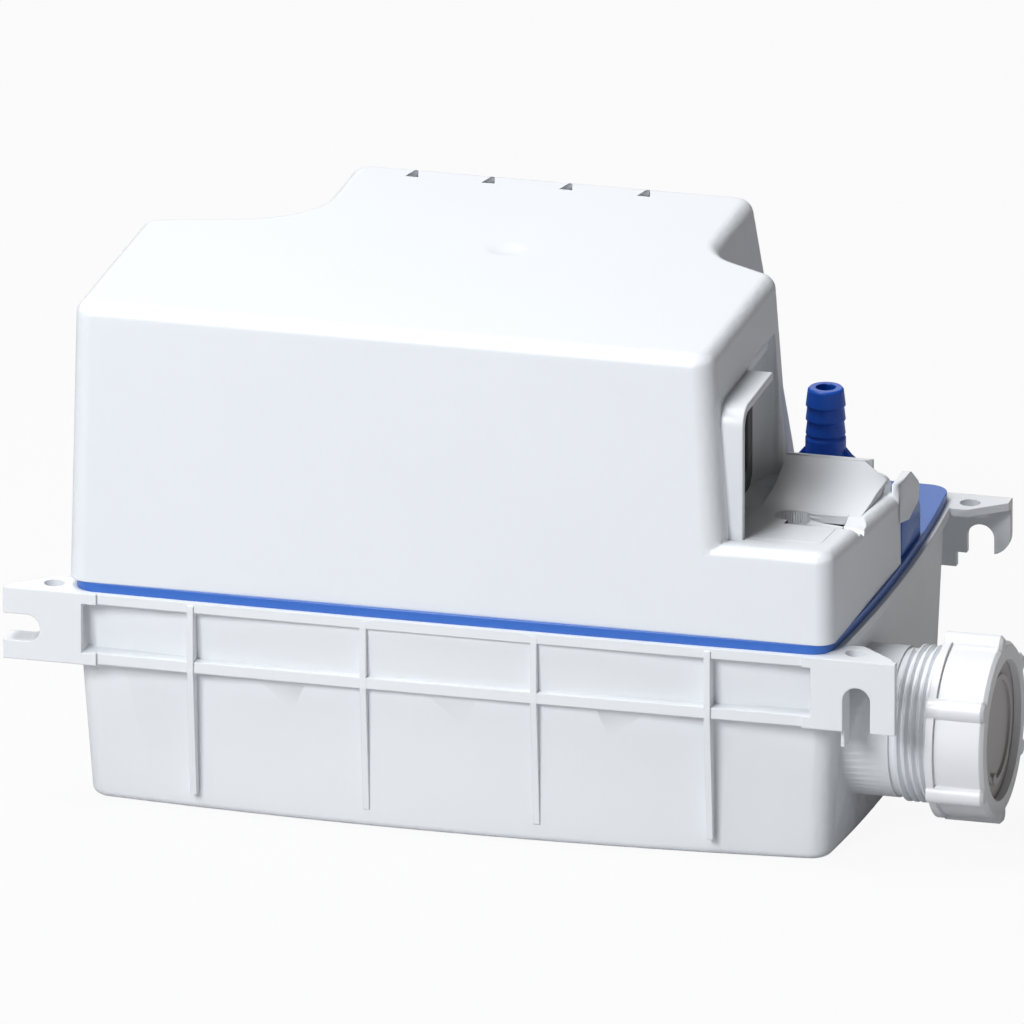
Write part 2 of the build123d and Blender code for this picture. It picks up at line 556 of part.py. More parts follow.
def make_discharge_tube():
    """Tube from the volute's outlet up to the valve tower."""
    start = AXIS_X + 40
    bend = 16.0
    path = FilletPolyline((start, VALVE_Y, OUTLET_Z), (VALVE_X, VALVE_Y, OUTLET_Z),
                          (VALVE_X, VALVE_Y, DECK_LOW), radius=bend)
    section = Plane(origin=(start, VALVE_Y, OUTLET_Z), z_dir=(1, 0, 0)) * (Circle(6) - Circle(4))
    return sweep(section, path=path)


# ---------------------------------------------------------------- check valve and barb
def make_fitting():
    """Hose barb with a round flange and two gussets, which closes the valve tower."""
    top = VALVE_TOWER_TOP
    fitting = post(VALVE_X, VALVE_Y, top, top + 1.8, 18.6)
    fitting += post(VALVE_X, VALVE_Y, top - 4, top, 13)
    wide = BARB / 2
    points = [(0, top), (wide, top), (wide, top + 9)]
    for height in (9, 13.5, 18):
        points += [(wide - 0.6, top + height + 1.2), (wide - 0.1, top + height + 1.5)]
    points += [(wide - 0.7, BARB_TOP - 0.6), (wide - 1.2, BARB_TOP), (0, BARB_TOP)]
    stem = make_face(Polyline(*points, close=True))
    fitting += Pos(VALVE_X, VALVE_Y, 0) * revolve(Plane.XZ * stem, Axis.Z)
    for side in (-1, 1):
        gusset = Polyline((side * (wide - 1), top + 1), (side * 9.0, top + 1), (side * 9.0, top + 2.6),
                          (side * (wide - 1), top + 7), close=True)
        fitting += Pos(VALVE_X, VALVE_Y, 0) * extrude(Plane.XZ * make_face(gusset), 1.2, both=True)
    fitting -= post(VALVE_X, VALVE_Y, top - 5, BARB_TOP + 1, 6.2)
    return fitting - post(VALVE_X, VALVE_Y, top - 5, top + 2, 9)


def make_spring():
    """Light spring that seats the ball."""
    low, high = BALL_Z + 4.7, VALVE_TOWER_TOP + 1.6
    turns, around = 4, 14
    points = [(3.2 * cos(radians(360 * i / around)), 3.2 * sin(radians(360 * i / around)),
               low + (high - low) * i / (turns * around)) for i in range(turns * around + 1)]
    coil = Polyline(*points)
    section = Plane(origin=coil @ 0, z_dir=coil % 0) * RegularPolygon(0.4, 6)
    return Pos(VALVE_X, VALVE_Y, 0) * sweep(section, path=coil, transition=Transition.RIGHT)


# ---------------------------------------------------------------- motor
def make_stator():
    """Laminated frame with the rotor's bore and the yoke that carries the coil."""
    frame = block(AXIS_X - 32, AXIS_X + 32, AXIS_Y - 26, AXIS_Y + 52, STACK_LOW, STACK_TOP)
    frame = chamfer(frame.edges().filter_by(Axis.Z), 5)
    frame -= block(AXIS_X - 16, AXIS_X + 16, AXIS_Y + 25, AXIS_Y + 38, STACK_LOW, STACK_TOP)
    frame -= post(AXIS_X, AXIS_Y, STACK_LOW, STACK_TOP, ROTOR + 2 * AIR_GAP)
    for x, y in MOTOR_FEET:
        frame -= post(x, y, STACK_LOW, STACK_TOP, 4)
    return frame


def make_bobbin():
    """Plastic former on the yoke."""
    core = block(AXIS_X - 15, AXIS_X + 15, AXIS_Y + 36.5, AXIS_Y + 53.5, STACK_LOW - 1.5, STACK_TOP + 1.5)
    for x in (AXIS_X - 15, AXIS_X + 13.5):
        core += block(x, x + 1.5, AXIS_Y + 29, AXIS_Y + 60, STACK_LOW - 8, STACK_TOP + 8)
    return core - block(AXIS_X - 40, AXIS_X + 40, AXIS_Y + 38, AXIS_Y + 52, STACK_LOW, STACK_TOP)


def make_coil():
    """Taped winding on the bobbin."""
    coil = block(AXIS_X - 13.5, AXIS_X + 13.5, AXIS_Y + 30, AXIS_Y + 59, STACK_LOW - 7, STACK_TOP + 7)
    coil = fillet(coil.edges().filter_by(Axis.X), 4)
    return coil - block(AXIS_X - 20, AXIS_X + 20, AXIS_Y + 36.5, AXIS_Y + 53.5, STACK_LOW - 1.5, STACK_TOP + 1.5)


def make_bracket(z0):
    """Pressed-steel bearing bracket."""
    plate = block(AXIS_X - 32, AXIS_X + 32, AXIS_Y - 9, AXIS_Y + 9, z0, z0 + BRACKET)
    for side in (-1, 1):
        x = AXIS_X + side * 27
        plate += block(x - 5, x + 5, AXIS_Y - 26, AXIS_Y + 26, z0, z0 + BRACKET)
    plate += post(AXIS_X, AXIS_Y, z0, z0 + BRACKET, 26)
    plate -= post(AXIS_X, AXIS_Y, z0, z0 + BRACKET, 14)
    for x, y in MOTOR_FEET:
        plate -= post(x, y, z0, z0 + BRACKET, 4)
    return plate


def make_bearing(z0):
    """Sintered bush with a collar that holds it in its bracket."""
    bush = post(AXIS_X, AXIS_Y, z0 - 2, z0 + BRACKET + 2, 14)
    bush += post(AXIS_X, AXIS_Y, z0 + BRACKET, z0 + BRACKET + 1.5, 18)
    return bush - post(AXIS_X, AXIS_Y, z0 - 3, z0 + BRACKET + 3, SHAFT + 2 * RUN_FIT)


def make_fan():
    """Cooling fan with seven pitched blades."""
    hub = post(AXIS_X, AXIS_Y, FAN_LOW, FAN_LOW + 10, 14)
    for i in range(7):
        blade = Pos(16, 0, FAN_LOW + 5) * Rot(38, 0, 0) * Box(22, 12, 1.4)
        hub += Pos(AXIS_X, AXIS_Y, 0) * Rot(0, 0, 360 / 7 * i) * blade
    return hub - post(AXIS_X, AXIS_Y, FAN_LOW - 1, FAN_LOW + 11, SHAFT)


# ---------------------------------------------------------------- float and switch
def make_float():
    """Closed float with bevelled rims, bored for its rod."""
    body = post(FLOAT_X, FLOAT_Y, FLOAT_LOW, FLOAT_LOW + FLOAT_HEIGHT, FLOAT_DIAMETER)
    body = chamfer(body.edges().filter_by(GeomType.CIRCLE), 2.5)
    return body - post(FLOAT_X, FLOAT_Y, FLOAT_LOW - 1, FLOAT_LOW + FLOAT_HEIGHT + 1, FLOAT_ROD)


def make_rod():
    """Float rod with two collars that carry the switch lever."""
    rod = post(FLOAT_X, FLOAT_Y, FLOAT_LOW, COLLAR_Z + 6, FLOAT_ROD)
    rod += post(FLOAT_X, FLOAT_Y, COLLAR_Z - 5, COLLAR_Z - 3.2, 10)
    rod += post(FLOAT_X, FLOAT_Y, COLLAR_Z + 3.2, COLLAR_Z + 5, 10)
    return rod + post(FLOAT_X, FLOAT_Y, FLOAT_LOW - 1.5, FLOAT_LOW, 9)


def make_lever():
    """Forked lever, drawn level about its pivot and then tilted to the empty tank's position."""
    bar = block(-3.5, 3.5, -4, LEVER_ARM - 3, -1.25, 1.25)
    bar += Rot(0, 90, 0) * Cylinder(4, 9)
    for x in (-4.6, 2.8):
        bar += block(x, x + 1.8, LEVER_ARM - 8, LEVER_ARM + 6, -1.25, 1.25)
    bar -= post(0, LEVER_ARM, -3, 3, 5.4)
    bar -= Rot(0, 90, 0) * Cylinder(1.56, 20)
    return Pos(FLOAT_X, PIVOT_Y, LEVER_PIVOT_Z) * Rot(-REST_TILT, 0, 0) * bar


def make_switch_bracket():
    """Moulded bracket: two cheeks that hold the lever's pin and the switch above it."""
    outer = CHEEK_GAP + 2
    bracket = block(FLOAT_X - 10, FLOAT_X + 10, PIVOT_Y - 12, PIVOT_Y + 16, DECK_TOP, DECK_TOP + 2.5)
    for x in (FLOAT_X - outer, FLOAT_X + CHEEK_GAP):
        bracket += block(x, x + 2, PIVOT_Y - 8, PIVOT_Y + 8, DECK_TOP, SWITCH_LOW)
        bracket += block(x, x + 2, PIVOT_Y - 8, PIVOT_Y + 14, SWITCH_LOW - 4, SWITCH_HIGH)
    return bracket - Pos(FLOAT_X, PIVOT_Y, LEVER_PIVOT_Z) * Rot(0, 90, 0) * Cylinder(1.5, 40)


def make_switch():
    """Snap-action switch body with three blade terminals."""
    body = block(FLOAT_X - CHEEK_GAP, FLOAT_X + CHEEK_GAP, PIVOT_Y - 7, PIVOT_Y + 20, SWITCH_LOW, SWITCH_HIGH)
    body -= post(FLOAT_X, PIVOT_Y + PLUNGER_OFFSET, SWITCH_LOW, SWITCH_LOW + 10, 3.4)
    for i in range(3):
        y = PIVOT_Y - 3 + 9 * i
        body += block(FLOAT_X - 3, FLOAT_X + 3, y, y + 0.8, SWITCH_HIGH, SWITCH_HIGH + 6)
    return body


# ---------------------------------------------------------------- electrical entry
def make_socket():
    """Black appliance inlet: a plate in the alcove's wall with a deep well behind it."""
    wide, tall = 11.0, 12.0
    body = panel_form()
    body += block(ALCOVE_X - SOCKET_WELL - 3, PANEL[0] + 0.1, SOCKET_Y - wide - 3, SOCKET_Y + wide + 3,
                  SOCKET_Z - tall - 3, SOCKET_Z + tall + 3)
    return body - block(ALCOVE_X - SOCKET_WELL, ALCOVE_X + 1, SOCKET_Y - wide, SOCKET_Y + wide,
                        SOCKET_Z - tall, SOCKET_Z + tall)


def make_pins():
    """Three flat pins of the inlet."""
    root, tip = ALCOVE_X - SOCKET_WELL, ALCOVE_X - 4
    spots = ((0, 5), (-5, -4), (5, -4))
    return group([block(root, tip, SOCKET_Y + dy - 1, SOCKET_Y + dy + 1, SOCKET_Z + dz - 2, SOCKET_Z + dz + 2)
                  for dy, dz in spots])


def make_terminal_block():
    """Three-way terminal block screwed to the deck."""
    body = block(42, 64, -50, -20, DECK_TOP, DECK_TOP + 14)
    for i in range(3):
        y = -43 + 8 * i
        body -= block(40, 50, y - 2, y + 2, DECK_TOP + 3, DECK_TOP + 7)
        body -= post(47, y, DECK_TOP + 8, DECK_TOP + 15, 4)
    return body


# ---------------------------------------------------------------- assembly
nodes["tank"] = make_tank()
nodes["deck_plate"] = make_deck()
nodes["deck_seal"] = (rim_form(DECK_LOW, DECK_LOW + 1.2, 4.3) - rim_form(DECK_LOW, DECK_LOW + 1.2, 5.5))
nodes["top_cover"] = make_cover()
nodes["cover_screw"] = (screw(COVER_SCREW_X, COVER_SCREW_Y, POCKET_FLOOR - 6, 27)
                        - cross_recess(COVER_SCREW_X, COVER_SCREW_Y, POCKET_FLOOR - 3.8))
nodes["deck_screws"] = group([screw(x, y, DECK_TOP, 18) for x, y in DECK_SCREWS])
nodes["spout_nut"] = make_nut()
nodes["blanking_disc"] = make_disc()
nodes["spout_washer"] = make_washer()
nodes["volute_housing"] = make_volute()
nodes["volute_cover"] = make_volute_cover()
nodes["volute_screws"] = group([mirror(screw(x, y, -VOLUTE_LOW + 3, 11), Plane.XY) for x, y in VOLUTE_SCREWS])
nodes["column_screws"] = group([screw(x, y, DECK_TOP, DECK + 2.8) for x, y in COLUMN_SCREWS])
nodes["inlet_strainer"] = make_strainer()
nodes["impeller"] = make_impeller()
nodes["discharge_tube"] = make_discharge_tube()
nodes["discharge_fitting"] = make_fitting()
nodes["valve_ball"] = Pos(VALVE_X, VALVE_Y, BALL_Z) * Sphere(BALL / 2)
nodes["valve_spring"] = make_spring()
nodes["motor_shaft"] = post(AXIS_X, AXIS_Y, VOLUTE_LOW + 2, SHAFT_TOP, SHAFT)
nodes["rotor_core"] = (post(AXIS_X, AXIS_Y, STACK_LOW, STACK_TOP, ROTOR)
                       - post(AXIS_X, AXIS_Y, STACK_LOW, STACK_TOP, SHAFT))
nodes["motor_stator"] = make_stator()
nodes["coil_bobbin"] = make_bobbin()
nodes["motor_coil"] = make_coil()
nodes["lower_bracket"] = make_bracket(BRACKET_LOW)
nodes["upper_bracket"] = make_bracket(BRACKET_HIGH)
nodes["lower_bearing"] = make_bearing(BRACKET_LOW)
nodes["upper_bearing"] = make_bearing(BRACKET_HIGH)
nodes["motor_mounts"] = group([post(x, y, DECK_TOP, BRACKET_LOW, 12) for x, y in MOTOR_FEET])
nodes["motor_spacers"] = group([sleeve(x, y, z0, z1, 7, 4) for x, y in MOTOR_FEET
                                for z0, z1 in ((BRACKET_LOW + BRACKET, STACK_LOW), (STACK_TOP, BRACKET_HIGH))])
nodes["motor_bolts"] = group([post(x, y, BRACKET_LOW, BRACKET_HIGH + BRACKET, 4)
                              + post(x, y, BRACKET_HIGH + BRACKET, BRACKET_HIGH + BRACKET + 3, 7)
                              for x, y in MOTOR_FEET])
nodes["cooling_fan"] = make_fan()
nodes["shaft_slinger"] = sleeve(AXIS_X, AXIS_Y, DECK_TOP + 2, DECK_TOP + 4, 16, SHAFT)
nodes["float"] = make_float()
nodes["float_rod"] = make_rod()
nodes["switch_lever"] = make_lever()
nodes["lever_pin"] = Pos(FLOAT_X, PIVOT_Y, LEVER_PIVOT_Z) * Rot(0, 90, 0) * Cylinder(1.5, 2 * CHEEK_GAP + 4)
nodes["switch_bracket"] = make_switch_bracket()
nodes["float_switch"] = make_switch()
nodes["switch_plunger"] = post(FLOAT_X, PIVOT_Y + PLUNGER_OFFSET, PLUNGER_LOW, SWITCH_LOW + 5, 3)
nodes["power_socket"] = make_socket()
nodes["socket_pins"] = make_pins()
nodes["terminal_block"] = make_terminal_block()

os.makedirs("parts", exist_ok=True)
for name, shape in nodes.items():
    export_step(shape, os.path.join("parts", name + ".step"))
    print(name, len(shape.solids()), round(shape.volume))
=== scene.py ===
# %% [markdown]
# # A condensate pump
# The real object is a small tank pump: a white tank with fixing ears and a capped drain spout, a blue deck
# with a hose barb, and a white cover over the motor. The frame brings every CAD piece at its real size. Here
# each piece gets its finish, and finer forms are modelled: the spout's thread, the hood over the inlet, the
# inlet's collar, the top of the step, the deck's upstand and the tank's ears. The valve's spring is a copy
# with its own shading.

# %% Load the frame
import json
import math
import bpy
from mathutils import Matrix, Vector


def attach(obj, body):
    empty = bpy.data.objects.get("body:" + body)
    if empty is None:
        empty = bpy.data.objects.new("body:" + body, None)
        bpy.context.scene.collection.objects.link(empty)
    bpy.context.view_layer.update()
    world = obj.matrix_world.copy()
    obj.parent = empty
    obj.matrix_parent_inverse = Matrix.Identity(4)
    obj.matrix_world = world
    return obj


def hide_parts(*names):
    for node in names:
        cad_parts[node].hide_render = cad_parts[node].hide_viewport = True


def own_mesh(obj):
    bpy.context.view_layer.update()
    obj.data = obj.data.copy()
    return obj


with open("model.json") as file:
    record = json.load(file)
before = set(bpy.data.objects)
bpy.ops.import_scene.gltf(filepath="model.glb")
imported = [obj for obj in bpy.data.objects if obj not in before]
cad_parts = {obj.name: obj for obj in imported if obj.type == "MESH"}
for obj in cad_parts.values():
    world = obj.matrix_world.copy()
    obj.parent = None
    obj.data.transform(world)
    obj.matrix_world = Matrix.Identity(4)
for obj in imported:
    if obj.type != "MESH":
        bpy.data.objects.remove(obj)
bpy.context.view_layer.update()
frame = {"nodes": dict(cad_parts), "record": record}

nodes = frame["nodes"]
MM = 0.001

# %% [markdown]
# ## Camera
# A catalogue view of such an object is drawn almost without perspective: lines that are parallel on the
# object stay parallel in the picture. A 1500 mm lens, very far back, gives that look.

# %% Camera
VIEW_AZIMUTH = math.radians(14.7)
VIEW_ELEVATION = math.radians(19.4)
AIM = Vector((-0.0005, 0.0, 0.0783))
FRAME_WIDTH = 0.3103
LENS = 1500.0
SENSOR = 36.0
FAR_END = 60.0

camera_data = bpy.data.cameras.new("studio_camera")
camera_data.lens = LENS
camera_data.sensor_width = SENSOR
camera_data.clip_end = FAR_END
camera = bpy.data.objects.new("studio_camera", camera_data)
bpy.context.scene.collection.objects.link(camera)
away = Vector((math.sin(VIEW_AZIMUTH) * math.cos(VIEW_ELEVATION),
               -math.cos(VIEW_AZIMUTH) * math.cos(VIEW_ELEVATION),
               math.sin(VIEW_ELEVATION)))
distance = FRAME_WIDTH / SENSOR * LENS
camera.location = AIM + away * distance
camera.rotation_mode = "QUATERNION"
camera.rotation_quaternion = (-away).to_track_quat("-Z", "Y")
bpy.context.scene.camera = camera
print("camera stands", round(distance, 2), "m away")

# %% [markdown]
# ## Studio
# The floor is a wide plain sheet. It shows almost pure white to the camera, as a catalogue picture does, but
# the light that it gives to the object is that of a plain pale floor, so the white shell keeps its shading.
# The world is split in the same way.


# %% Floor and world
def split_for_camera(tree, factor, for_light, for_camera, target):
    """Show one shader to the camera, and let the other light the object."""
    mix = tree.nodes.new("ShaderNodeMixShader")
    tree.links.new(factor, mix.inputs["Fac"])
    tree.links.new(for_light, mix.inputs[1])
    tree.links.new(for_camera, mix.inputs[2])
    tree.links.new(mix.outputs[0], target)


WHITE = (1, 1, 1, 1)
FLOOR_SIZE = 6.0
FLOOR_DROP = 0.0004
FLOOR_TONE = (0.50, 0.50, 0.51, 1)
FLOOR_ROUGHNESS = 0.9
FLOOR_WHITENESS = 0.93
WORLD_TONE = (1.0, 0.98, 0.96, 1)
WORLD_STRENGTH = 0.11

bpy.ops.object.select_all(action="DESELECT")
bpy.ops.mesh.primitive_plane_add(size=FLOOR_SIZE, location=(0, 0, -FLOOR_DROP))
floor = bpy.context.object
floor.name = "studio_floor"

floor_paint = bpy.data.materials.new("floor_paint")
floor_paint.use_nodes = True
tree = floor_paint.node_tree
paint = tree.nodes["Principled BSDF"]
paint.inputs["Base Color"].default_value = FLOOR_TONE
paint.inputs["Roughness"].default_value = FLOOR_ROUGHNESS
glow = tree.nodes.new("ShaderNodeEmission")
glow.inputs["Color"].default_value = WHITE
rays = tree.nodes.new("ShaderNodeLightPath")
share = tree.nodes.new("ShaderNodeMath")
share.operation = "MULTIPLY"
share.inputs[1].default_value = FLOOR_WHITENESS
tree.links.new(rays.outputs["Is Camera Ray"], share.inputs[0])
split_for_camera(tree, share.outputs[0], paint.outputs[0], glow.outputs[0],
                 tree.nodes["Material Output"].inputs["Surface"])
floor.data.materials.append(floor_paint)

world = bpy.data.worlds.new("studio_world")
bpy.context.scene.world = world
world.use_nodes = True
tree = world.node_tree
sky = tree.nodes["Background"]
sky.inputs["Color"].default_value = WORLD_TONE
sky.inputs["Strength"].default_value = WORLD_STRENGTH
paper = tree.nodes.new("ShaderNodeBackground")
paper.inputs["Color"].default_value = WHITE
rays = tree.nodes.new("ShaderNodeLightPath")
split_for_camera(tree, rays.outputs["Is Camera Ray"], sky.outputs[0], paper.outputs[0],
                 tree.nodes["World Output"].inputs["Surface"])
bpy.context.scene.view_settings.view_transform = "Standard"


# %% Soft boxes
def soft_box(name, place, size, watts, color=(1, 1, 1)):
    """A square lamp that looks at the middle of the object."""
    data = bpy.data.lights.new(name, "AREA")
    data.shape = "SQUARE"
    data.size = size
    data.energy = watts
    data.color = color
    lamp = bpy.data.objects.new(name, data)
    bpy.context.scene.collection.objects.link(lamp)
    lamp.location = place
    lamp.rotation_mode = "QUATERNION"
    lamp.rotation_quaternion = (AIM - Vector(place)).to_track_quat("-Z", "Y")


soft_box("key_box", (-0.55, -1.9, 1.35), size=0.8, watts=39, color=(0.97, 0.985, 1.0))
soft_box("top_box", (-0.45, -0.2, 1.9), size=0.8, watts=25)
soft_box("back_box", (-0.55, 2.2, 0.85), size=1.6, watts=7)
soft_box("side_box", (1.7, -0.1, 0.4), size=0.8, watts=0.4, color=(1.0, 0.95, 0.9))

# %% [markdown]
# ## Finishes
# Most pieces are injection moulded. Such a plastic has a fine spark-eroded texture, slow waves from cooling,
# and a faint change of tone. Those three effects are one node group, and each plastic sets its own amounts.


# %% Moulded surface group
def new_group(name, inputs, outputs):
    """An empty shader group with its sockets."""
    group = bpy.data.node_groups.new(name, "ShaderNodeTree")
    for label, kind, value in inputs:
        socket = group.interface.new_socket(label, in_out="INPUT", socket_type=kind)
        socket.default_value = value
    for label, kind in outputs:
        group.interface.new_socket(label, in_out="OUTPUT", socket_type=kind)
    group.nodes.new("NodeGroupInput")
    group.nodes.new("NodeGroupOutput")
    return group


def noise(tree, coordinates, scale, detail, roughness=0.5):
    """A noise texture on the given coordinates."""
    node = tree.nodes.new("ShaderNodeTexNoise")
    node.inputs["Scale"].default_value = scale
    node.inputs["Detail"].default_value = detail
    node.inputs["Roughness"].default_value = roughness
    tree.links.new(coordinates, node.inputs["Vector"])
    return node


def blend_value(tree, factor, low, high):
    """Map a 0 to 1 mask onto low to high."""
    node = tree.nodes.new("ShaderNodeMapRange")
    node.inputs["To Min"].default_value = low
    node.inputs["To Max"].default_value = high
    tree.links.new(factor, node.inputs["Value"])
    return node.outputs["Result"]


def blend_color(tree, factor):
    """A mix of two colours, A and B."""
    node = tree.nodes.new("ShaderNodeMix")
    node.data_type = "RGBA"
    tree.links.new(factor, node.inputs["Factor"])
    return node


def bump(tree, height, depth):
    """A bump of the given depth in metres."""
    node = tree.nodes.new("ShaderNodeBump")
    node.inputs["Distance"].default_value = depth
    tree.links.new(height, node.inputs["Height"])
    return node


CLOUD_SCALE, GRAIN_SCALE, WAVE_SCALE = 14, 2600, 34
EDGE_ROUND = 0.6 * MM
GRAIN_DEPTH = 0.04 * MM
WAVE_DEPTH = 0.4 * MM
WAVE_STRENGTH = 0.12
ROUGH_SPREAD = 0.10

moulded = new_group(
    "moulded_surface",
    [("Tone", "NodeSocketColor", (0.8, 0.8, 0.8, 1)), ("Shade", "NodeSocketColor", (0.7, 0.7, 0.7, 1)),
     ("Rough", "NodeSocketFloat", 0.35), ("Grain", "NodeSocketFloat", 0.1)],
    [("Color", "NodeSocketColor"), ("Roughness", "NodeSocketFloat"), ("Normal", "NodeSocketVector")])
given = moulded.nodes["Group Input"]
given_out = moulded.nodes["Group Output"]
place = moulded.nodes.new("ShaderNodeTexCoord")
cloud = noise(moulded, place.outputs["Object"], CLOUD_SCALE, 3)
grain = noise(moulded, place.outputs["Object"], GRAIN_SCALE, 2, 0.6)
waves = noise(moulded, place.outputs["Object"], WAVE_SCALE, 1)

tint = blend_color(moulded, blend_value(moulded, cloud.outputs["Fac"], 0.0, 1.0))
moulded.links.new(given.outputs["Tone"], tint.inputs["A"])
moulded.links.new(given.outputs["Shade"], tint.inputs["B"])
moulded.links.new(tint.outputs["Result"], given_out.inputs["Color"])

rough_offset = moulded.nodes.new("ShaderNodeMath")
rough_offset.operation = "MULTIPLY_ADD"
rough_offset.inputs[1].default_value = ROUGH_SPREAD
moulded.links.new(grain.outputs["Fac"], rough_offset.inputs[0])
moulded.links.new(given.outputs["Rough"], rough_offset.inputs[2])
moulded.links.new(rough_offset.outputs[0], given_out.inputs["Roughness"])

edge_finder = moulded.nodes.new("ShaderNodeBevel")
edge_finder.samples = 6
edge_finder.inputs["Radius"].default_value = EDGE_ROUND
fine = bump(moulded, grain.outputs["Fac"], GRAIN_DEPTH)
moulded.links.new(given.outputs["Grain"], fine.inputs["Strength"])
moulded.links.new(edge_finder.outputs["Normal"], fine.inputs["Normal"])
slow = bump(moulded, waves.outputs["Fac"], WAVE_DEPTH)
slow.inputs["Strength"].default_value = WAVE_STRENGTH
moulded.links.new(fine.outputs["Normal"], slow.inputs["Normal"])
moulded.links.new(slow.outputs["Normal"], given_out.inputs["Normal"])
print("group sockets:", [s.name for s in moulded.interface.items_tree])


# %% Plastics and rubber
def plastic(name, tone, shade, rough, grain_amount):
    """A moulded plastic on the shared group."""
    material = bpy.data.materials.new(name)
    material.use_nodes = True
    inner = material.node_tree
    shader = inner.nodes["Principled BSDF"]
    surface = inner.nodes.new("ShaderNodeGroup")
    surface.node_tree = moulded
    surface.inputs["Tone"].default_value = (*tone, 1)
    surface.inputs["Shade"].default_value = (*shade, 1)
    surface.inputs["Rough"].default_value = rough
    surface.inputs["Grain"].default_value = grain_amount
    inner.links.new(surface.outputs["Color"], shader.inputs["Base Color"])
    inner.links.new(surface.outputs["Roughness"], shader.inputs["Roughness"])
    inner.links.new(surface.outputs["Normal"], shader.inputs["Normal"])
    shader.inputs["IOR"].default_value = 1.5
    return material


finishes = {
    "cover_white": plastic("cover_shell", (0.80, 0.83, 0.86), (0.77, 0.80, 0.84), 0.30, 0.10),
    "tank_white": plastic("tank_shell", (0.81, 0.835, 0.86), (0.79, 0.815, 0.845), 0.34, 0.12),
    "deck_blue": plastic("deck_blue_plastic", (0.035, 0.150, 0.56), (0.030, 0.135, 0.52), 0.26, 0.10),
    "fitting_blue": plastic("fitting_blue_plastic", (0.009, 0.110, 0.62), (0.008, 0.100, 0.56), 0.26, 0.06),
    "nut_white": plastic("nut_plastic", (0.82, 0.83, 0.85), (0.79, 0.80, 0.83), 0.30, 0.10),
    "disc_grey": plastic("disc_plastic", (0.52, 0.50, 0.49), (0.48, 0.46, 0.45), 0.40, 0.12),
    "seal_rubber": plastic("nitrile_rubber", (0.018, 0.018, 0.019), (0.025, 0.025, 0.026), 0.62, 0.5),
    "pump_grey": plastic("filled_nylon", (0.075, 0.082, 0.09), (0.06, 0.066, 0.075), 0.45, 0.4),
    "tube_clear": plastic("vinyl_tube", (0.55, 0.58, 0.60), (0.50, 0.53, 0.56), 0.22, 0.05),
    "winding": plastic("winding_tape", (0.52, 0.24, 0.05), (0.44, 0.19, 0.035), 0.45, 0.5),
    "bobbin_plastic": plastic("bobbin_nylon", (0.022, 0.022, 0.024), (0.03, 0.03, 0.032), 0.45, 0.3),
    "fan_plastic": plastic("fan_nylon", (0.03, 0.03, 0.033), (0.04, 0.04, 0.043), 0.42, 0.3),
    "float_plastic": plastic("float_shell", (0.62, 0.55, 0.40), (0.58, 0.51, 0.37), 0.45, 0.25),
    "switch_plastic": plastic("switch_case", (0.02, 0.02, 0.022), (0.028, 0.028, 0.03), 0.40, 0.3),
    "lever_plastic": plastic("acetal", (0.62, 0.62, 0.60), (0.58, 0.58, 0.56), 0.35, 0.2),
    "socket_black": plastic("inlet_black", (0.012, 0.012, 0.013), (0.018, 0.018, 0.019), 0.38, 0.4),
}
print("plastics:", len(finishes))

# %% Metals
LINE_SCALE = 900
LINE_DEPTH = 0.03 * MM
LINE_STRENGTH = 0.35
LINE_SHADE = 0.82


def metal(name, tone, rough, brushed):
    """A metal with fine drawn lines, which give it a soft streaked shine."""
    material = bpy.data.materials.new(name)
    material.use_nodes = True
    inner = material.node_tree
    shader = inner.nodes["Principled BSDF"]
    where = inner.nodes.new("ShaderNodeTexCoord")
    stretch = inner.nodes.new("ShaderNodeMapping")
    stretch.inputs["Scale"].default_value = (1.0, 1.0, brushed)
    inner.links.new(where.outputs["Object"], stretch.inputs["Vector"])
    lines = noise(inner, stretch.outputs["Vector"], LINE_SCALE, 3, 0.6)
    inner.links.new(blend_value(inner, lines.outputs["Fac"], rough - 0.08, rough + 0.10),
                    shader.inputs["Roughness"])
    shade = blend_color(inner, lines.outputs["Fac"])
    shade.inputs["A"].default_value = (*tone, 1)
    shade.inputs["B"].default_value = (*(v * LINE_SHADE for v in tone), 1)
    inner.links.new(shade.outputs["Result"], shader.inputs["Base Color"])
    drawn = bump(inner, lines.outputs["Fac"], LINE_DEPTH)
    drawn.inputs["Strength"].default_value = LINE_STRENGTH
    inner.links.new(drawn.outputs["Normal"], shader.inputs["Normal"])
    shader.inputs["Metallic"].default_value = 1.0
    return material


finishes["screw_steel"] = metal("zinc_steel", (0.66, 0.66, 0.67), 0.28, 3.0)
finishes["motor_steel"] = metal("laminations", (0.20, 0.20, 0.21), 0.45, 12.0)
finishes["bracket_steel"] = metal("pressed_steel", (0.52, 0.52, 0.51), 0.34, 1.0)
finishes["bearing_bronze"] = metal("sintered_bronze", (0.42, 0.27, 0.12), 0.42, 1.0)
finishes["pin_brass"] = metal("plated_brass", (0.62, 0.47, 0.22), 0.25, 1.0)
print("finishes:", len(finishes))

# %% Dress every CAD node in its finish
slot_of = {part["node"]: part["material_slot"] for part in frame["record"]["subparts"]}
for name, node in nodes.items():
    node.data.materials.clear()
    node.data.materials.append(finishes[slot_of[name]])
print("dressed:", len(slot_of))

# %% [markdown]
# ## Tools for shaping
# A solid is started from a primitive, pulled into shape in edit mode, and cut or finished with modifiers that
# are applied. Sizes are typed in millimetres, as on a drawing, and every piece ends with its place in its
# mesh.

# %% Small tools
BEVEL_ANGLE = math.radians(35)
SMOOTH_ANGLE = math.radians(30)
MERGE_WITHIN = 0.002 * MM


def focus(piece):
    """Make this piece the only one that an operator acts on."""
    bpy.ops.object.select_all(action="DESELECT")
    piece.select_set(True)
    bpy.context.view_layer.objects.active = piece


